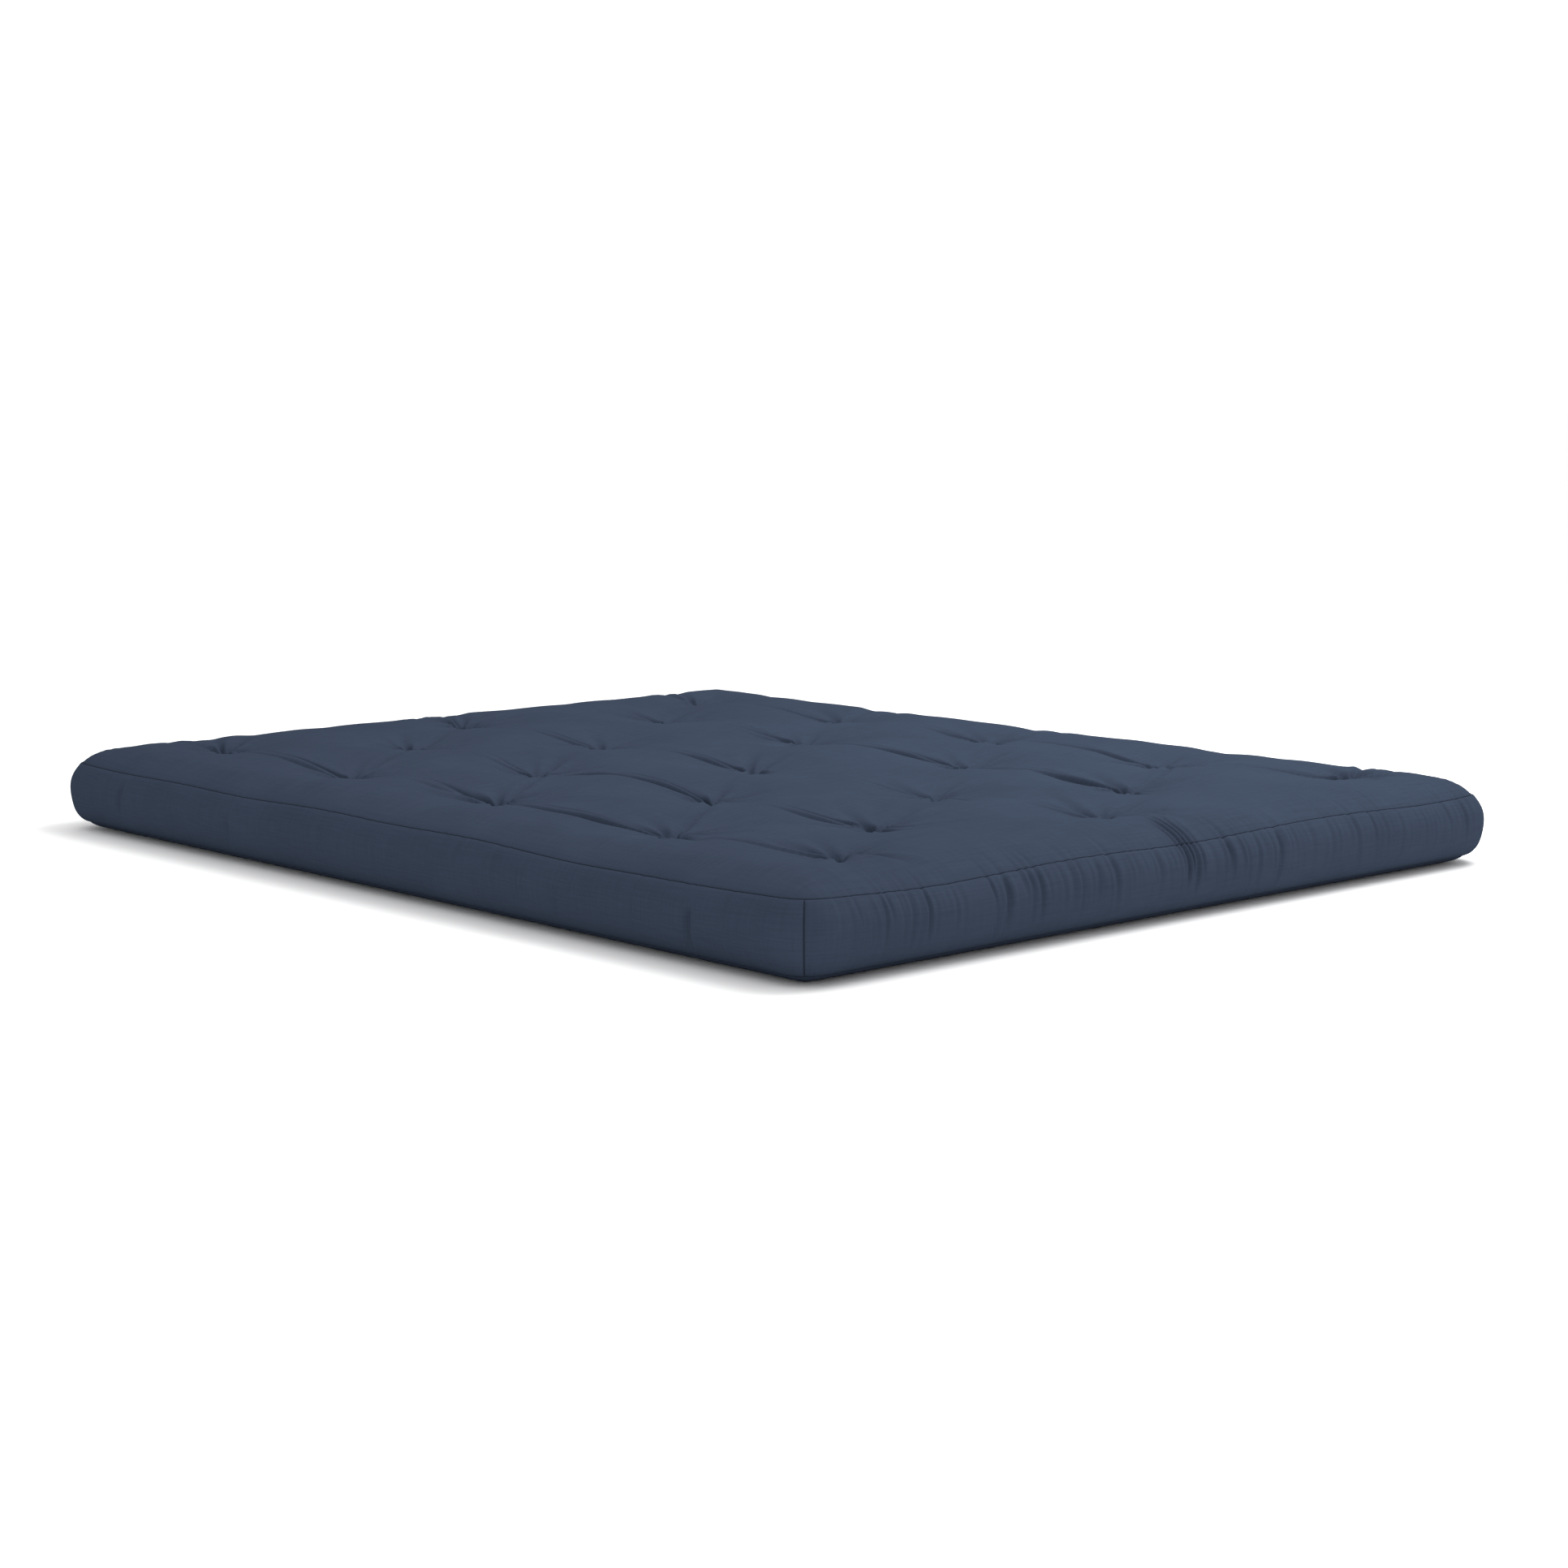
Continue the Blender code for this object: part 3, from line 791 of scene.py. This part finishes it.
def twine(name, colour, pitch):
    """Twisted thread: a slanting ridge that repeats along the cord, in relief and as painted shade in its
    grooves and painted highlight on its ridges.
    """
    finish = Finish(name, colour, 0.75, specular=0.02)
    where = finish.cloth_map()
    axes = finish.node("ShaderNodeSeparateXYZ", {}, {"Vector": where})
    across = Value(finish, axes.socket.node.outputs[1])
    slant = 1800.0
    twist = (axes * (2 * math.pi / pitch) + across * slant).sine()
    dust = finish.noise(where, (1, 1, 1), 300.0)
    # painted shade and painted highlight: the colour is darker in the twist's grooves and lighter on its
    # ridges, over random dust tone
    shade = twist * 0.3 + dust * 0.6 + 0.2
    finish.paint(finish.tint(shade, np.array(colour) * 0.7, np.array(colour) * 1.4))
    finish.bump(twist, 0.5, 0.0004)
    return finish.material


def filling(name, colour, scale, depth):
    """Carded cotton or open foam: two sizes of noise in colour and height, on object coordinates."""
    finish = Finish(name, colour, 0.95, sheen=0.2)
    where = finish.node("ShaderNodeTexCoord", {}, {}, 3)
    coarse = finish.noise(where, (1, 1, 1), scale, 4.0)
    fine = finish.noise(where, (1, 1, 1), scale * 9, 3.0)
    mixed = coarse * 0.6 + fine * 0.4
    finish.paint(finish.tint(mixed, np.array(colour) * 0.86, np.minimum(np.array(colour) * 1.1, 1)))
    finish.bump(mixed, 0.6, depth)
    return finish.material


# ---------------------------------------------------------------- pieces

def bend(piece, *nodes):
    """An unbroken soft piece that stands for the CAD halves: its transform is baked in and the halves are
    hidden.
    """
    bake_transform(piece)
    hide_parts(*nodes)


def halves(name):
    """Names of the two CAD halves of a piece."""
    return f"{name}_left", f"{name}_right"


def spread(z, steps, pick):
    """Lowest or highest value within some steps of every grid point, by sliding along both axes."""
    for axis in (0, 1):
        padded = np.pad(z, [(steps, steps) if a == axis else (0, 0) for a in (0, 1)], mode="edge")
        length = z.shape[axis]
        z = pick.reduce([np.take(padded, range(k, k + length), axis) for k in range(2 * steps + 1)])
    return z


def cover_lines():
    """Places of the finished grid's lines: y lines crowd at the ties, x lines at the creases."""
    rows = np.append(TUFTS[:, 1], [-HALF_LENGTH, HALF_LENGTH])[:, None]
    y_lines = crowded_lines(HALF_LENGTH, Y_LINES, rows, 1.6, 0.030)[:, 0]
    y = y_lines * CELL - HALF_LENGTH
    inside = smoothstep(0.03, 0.12, HALF_LENGTH - np.abs(y))
    lines = [column_line(y, column, gaps)[0] for column, gaps in zip(tie_columns(), CREASES)]
    columns = np.stack(lines)
    others = np.array([-HALF_WIDTH, HALF_WIDTH, FOLD[0]])[:, None] + 0 * columns[:3]
    at_edges, at_fold = 1.2 * inside + 0 * others[:2], 2.4 * (1 - inside[None])
    weights = np.concatenate([1.9 * inside + 0 * columns, at_edges, at_fold])
    centres = np.concatenate([columns, others])
    return crowded_lines(HALF_WIDTH, X_LINES, centres, weights, 0.026), y_lines


def ring_places(x_lines, y_lines, parts):
    """Places, round the coarse grid's ring, of the fine grid's edge lines and of steps between them."""
    near, far, side = (split_places(lines, parts) for lines in (x_lines[:, 0], x_lines[:, -1], y_lines))
    wide, long = near[-1], side[-1]
    return np.concatenate([near[:-1], wide + side[:-1], wide + long + (wide - far[::-1])[:-1],
                           2 * wide + long + (long - side[::-1])[:-1]])


def build_cover(cloth):
    """Top panel, underside and four border strips, all cut from the swollen cover."""
    top, border, pins = cloth_start()
    top, border = swell_cover(top, border, pins)
    x_lines, y_lines = cover_lines()
    places = ring_places(x_lines, y_lines, 2)
    ring = ring_of(top.shape[:2])
    rows = refine(np.concatenate([top.reshape(-1, 3)[ring][None], border]), places, 1, closed=True)
    plan = np.stack(plan_grid(CELL), -1)
    ring_plan = refine(plan.reshape(-1, 2)[ring], places, 0, closed=True)
    share = np.linspace(0, 1, BORDER_ROWS)
    down = share - ROWS_CROWD * np.sin(2 * np.pi * share)
    rows = refine(rows, down * len(border), 0)

    gathers = edge_gathers()
    fine, plan = (refine(refine(grid, y_lines, 1), x_lines, 0) for grid in (top, plan))
    fine.reshape(-1, 3)[ring_of(fine.shape[:2])] = rows[0, ::2]
    plan.reshape(-1, 2)[ring_of(fine.shape[:2])] = ring_plan[::2]
    fine_top = finish_top(fine, plan, gathers)
    fine_border = finish_border(rows, ring_plan, down, gathers)
    panel = sheet_piece("top_panel", fine_top, plan, cloth)
    bend(panel, *halves("top_panel"))

    under = underside()
    base = sheet_piece("bottom_panel", under, under[..., :2], cloth, flip=True)
    bend(base, *halves("bottom_panel"))
    wide, long = 2 * (X_LINES - 1), 2 * (Y_LINES - 1)
    corners = np.cumsum([0, wide, long, wide, long])
    build_border(fine_border, ring_plan, corners, cloth)
    return fine_top, under, fine_border, ring_plan, corners


def underside():
    """The bottom panel: flat where it rests, rounded up to its seam, with a shallow hollow at every tie.

    A hollow is its depth times exp(-(distance / reach)^power).
    """
    x, y = plan_grid(CELL / 2)
    inner = edge_distance(x, y)
    rise = BOTTOM_SEAM * np.maximum(0, 1 - inner / UNDER_MARGIN) ** UNDER_FULL
    hollow = (UNDER_DEPTH * np.exp(-(tie_distance(x, y) / UNDER_REACH) ** UNDER_POINT)).sum(-1)
    folds = UNDER_FOLDS * tie_folds(x, y) * smoothstep(*UNDER_FOLDED, hollow)
    tuck = SEAM_TUCK * np.exp(-inner / SEAM_RUN)
    return np.stack([x, y, np.maximum(rise + hollow + folds, 0)], -1) - outwards(x, y) * tuck[..., None]


def build_border(fine, ring_plan, corners, cloth):
    """Four strips between the corner seams, numbered round from the near end."""
    closed = np.concatenate([fine, fine[:, :1]], 1)
    steps = np.linalg.norm(np.diff(np.concatenate([ring_plan, ring_plan[:1]]), axis=0), axis=1)
    run = np.concatenate([[0.0], np.cumsum(steps)])
    down = np.concatenate([[0.0], np.cumsum(np.linalg.norm(np.diff(fine[:, 5], axis=0), axis=1))])
    cloth_map = np.stack(np.broadcast_arrays(run[None], down[:, None]), -1)
    strips = ("near_border", "side_border_right", "far_border", "side_border_left")
    for side, name in enumerate(strips):
        part = slice(corners[side], corners[side + 1] + 1)
        across_fold = "side" not in name
        title = name if across_fold else name + "_cloth"
        strip = sheet_piece(title, closed[:, part], cloth_map[:, part], cloth)
        if across_fold:
            bend(strip, *halves(name))
        else:
            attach(strip, name.replace("side_border_", "") + "_half")
            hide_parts(name)


def build_seams(fine_border, ring_plan, corners, thread):
    """Threads sunk in the grooves of the two long seams and the four corner seams."""
    out = outwards(ring_plan[:, 0], ring_plan[:, 1])
    for name, row, radius in (("top_seam", 0, THREAD_RADII[0]), ("bottom_seam", -1, THREAD_RADII[1])):
        route = fine_border[row] + out * THREAD_SHOWS
        cord = tube_piece(name, route, radius, thread, closed=True)
        bend(cord, *halves(name))
    for name, column in zip(("near_left", "near_right", "far_right", "far_left"), corners):
        route = fine_border[1:-1, column] + out[column] * THREAD_SHOWS
        cord = tube_piece(f"corner_thread_{name}", route, THREAD_RADII[2], thread)
        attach(cord, name.split("_")[1] + "_half")
        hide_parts(f"corner_seam_{name}")


def build_filling(fine_top, under, finishes):
    """Five layers that share the height between underside and top as the CAD layers do."""
    cell = 2 * CELL
    x, y = plan_grid(cell)
    column = np.clip(np.round((fine_top[..., 0] + HALF_WIDTH) / cell).astype(int), 0, x.shape[0] - 1)
    row = np.clip(np.round((fine_top[..., 1] + HALF_LENGTH) / cell).astype(int), 0, x.shape[1] - 1)
    roof = np.full(x.shape, CROWN)
    np.minimum.at(roof, (column, row), fine_top[..., 2])
    roof = spread(roof, 1, np.minimum) - ROOF_GAP
    floor = spread(under[..., 2], 4, np.maximum)[::4, ::4] + FLOOR_GAP
    plan = np.stack([x, y], -1) * (1 - EDGE_GAP / np.array((HALF_WIDTH, HALF_LENGTH)))
    for name in ("bottom_wadding", "lower_cotton", "foam_core", "upper_cotton", "top_wadding"):
        low, high = (corner[2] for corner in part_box(f"{name}_left"))
        shares = [layer_share(name, low, 0), layer_share(name, high, 1)]
        lower, upper = (floor + share * (roof - floor) for share in shares)
        faces = np.dstack([plan, upper - CLEARANCE]), np.dstack([plan, lower + CLEARANCE])
        is_foam = name == "foam_core"
        layer = slab_piece(name, *faces, "foam" if is_foam else "cotton", finishes[is_foam])
        bend(layer, *halves(name))


def layer_share(name, height, side):
    """Share of the filling's height at a layer's lower (side 0) or upper face (side 1)."""
    cuts = {"bottom_wadding": (0.0, WADDING), "lower_cotton": (WADDING, None), "foam_core": (None, None),
            "upper_cotton": (None, 1 - WADDING), "top_wadding": (1 - WADDING, 1.0)}
    fixed = cuts[name][side]
    return height / TOP if fixed is None else fixed


def build_ties(fine_top, under, twine_finish):
    """A twine stitch at every tie: up through the mattress, a short bar across the hollow, and down."""
    t = np.linspace(0, np.pi, 17)
    for number, (node, tuft) in enumerate(zip(TIES, TUFTS), start=1):
        high, low = nearest(fine_top, tuft)[2] + BAR_OVER, nearest(under, tuft)[2] + LOOP_UNDER
        arch = high - BAR_RISE + BAR_RISE * np.sin(t) ** 0.5
        bar = np.stack([-BAR_HALF * np.cos(t), np.zeros_like(t), arch], -1)
        leg = np.linspace(low, high - BAR_RISE - TWINE_RADIUS, 6)
        up = np.stack([np.full(6, -BAR_HALF), np.zeros(6), leg], -1)
        path = np.concatenate([up, bar, (up * [-1, 1, 1])[::-1]])
        cos, sin = math.cos(TIE_TURN * number), math.sin(TIE_TURN * number)
        spun = path[:, :2] @ np.array([[cos, sin], [-sin, cos]])
        route = np.column_stack([spun + tuft, path[:, 2]])
        cord = tube_piece(f"tuft_twine_{number:02d}", route, TWINE_RADIUS, twine_finish)
        if abs(tuft[0] - FOLD[0]) < BEND_ROOM:
            bend(cord, node)
        else:
            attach(cord, "right_half" if tuft[0] > FOLD[0] else "left_half")
            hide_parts(node)


# ---------------------------------------------------------------- setting

def lamp(name, place, aim, size, power):
    """A rectangular soft lamp that points at a place, with its power in watts."""
    data = bpy.data.lights.new(name, "AREA")
    data.shape, data.size, data.size_y, data.energy = "RECTANGLE", size[0], size[1], power
    light = bpy.data.objects.new(name, data)
    bpy.context.scene.collection.objects.link(light)
    light.location = place
    light.rotation_euler = (Vector(aim) - Vector(place)).to_track_quat("-Z", "Y").to_euler()


def build_setting():
    """Pale floor, white room and two soft lamps."""
    half, level = 40.0, -0.001
    corners = np.array([[x * half, y * half, level] for x, y in ((-1, -1), (1, -1), (1, 1), (-1, 1))])
    pale = Finish("pale_floor", (0.93, 0.93, 0.93), 0.9)
    floor = mesh_piece("floor", corners, np.array([[0, 1, 2, 3]]), corners[:, :2], pale.material)
    world = bpy.data.worlds.new("white_room")
    world.use_nodes = True
    world.node_tree.nodes["Background"].inputs["Color"].default_value = (1, 1, 1, 1)
    world.node_tree.nodes["Background"].inputs["Strength"].default_value = 1.08
    bpy.context.scene.world = world
    lamp("overhead", (1.2, -0.8, 2.6), (0.1, -0.1, 0.1), (2.4, 2.4), 95)
    lamp("right_front", (3.4, -3.6, 2.2), (0.2, -0.4, 0.1), (1.6, 1.6), 10)
    bpy.context.scene.view_settings.view_transform = "Standard"


def build_camera():
    """Camera at the near left corner, looking across the mattress from just above it."""
    data = bpy.data.cameras.new("camera")
    data.lens, data.sensor_width = LENS, SENSOR
    camera = bpy.data.objects.new("camera", data)
    bpy.context.scene.collection.objects.link(camera)
    camera.location = EYE
    look = Vector((math.sin(HEADING) * math.cos(DIP), math.cos(HEADING) * math.cos(DIP), -math.sin(DIP)))
    camera.rotation_euler = look.to_track_quat("-Z", "Y").to_euler()
    bpy.context.scene.camera = camera


def main():
    """Builds the finishes, every piece and the setting."""
    cloth = cover_cloth()
    thread = twine("seam_thread", THREAD_COLOUR, pitch=0.0016)
    tie = twine("tie_twine", TWINE_COLOUR, pitch=0.0030)
    fillings = (filling("raw_cotton", COTTON_COLOUR, scale=22.0, depth=0.004),
                filling("pale_foam", FOAM_COLOUR, scale=160.0, depth=0.0015))
    fine_top, under, fine_border, ring_plan, corners = build_cover(cloth)
    build_seams(fine_border, ring_plan, corners, thread)
    build_filling(fine_top, under, fillings)
    build_ties(fine_top, under, tie)
    build_setting()
    build_camera()


main()
bpy.context.view_layer.update()
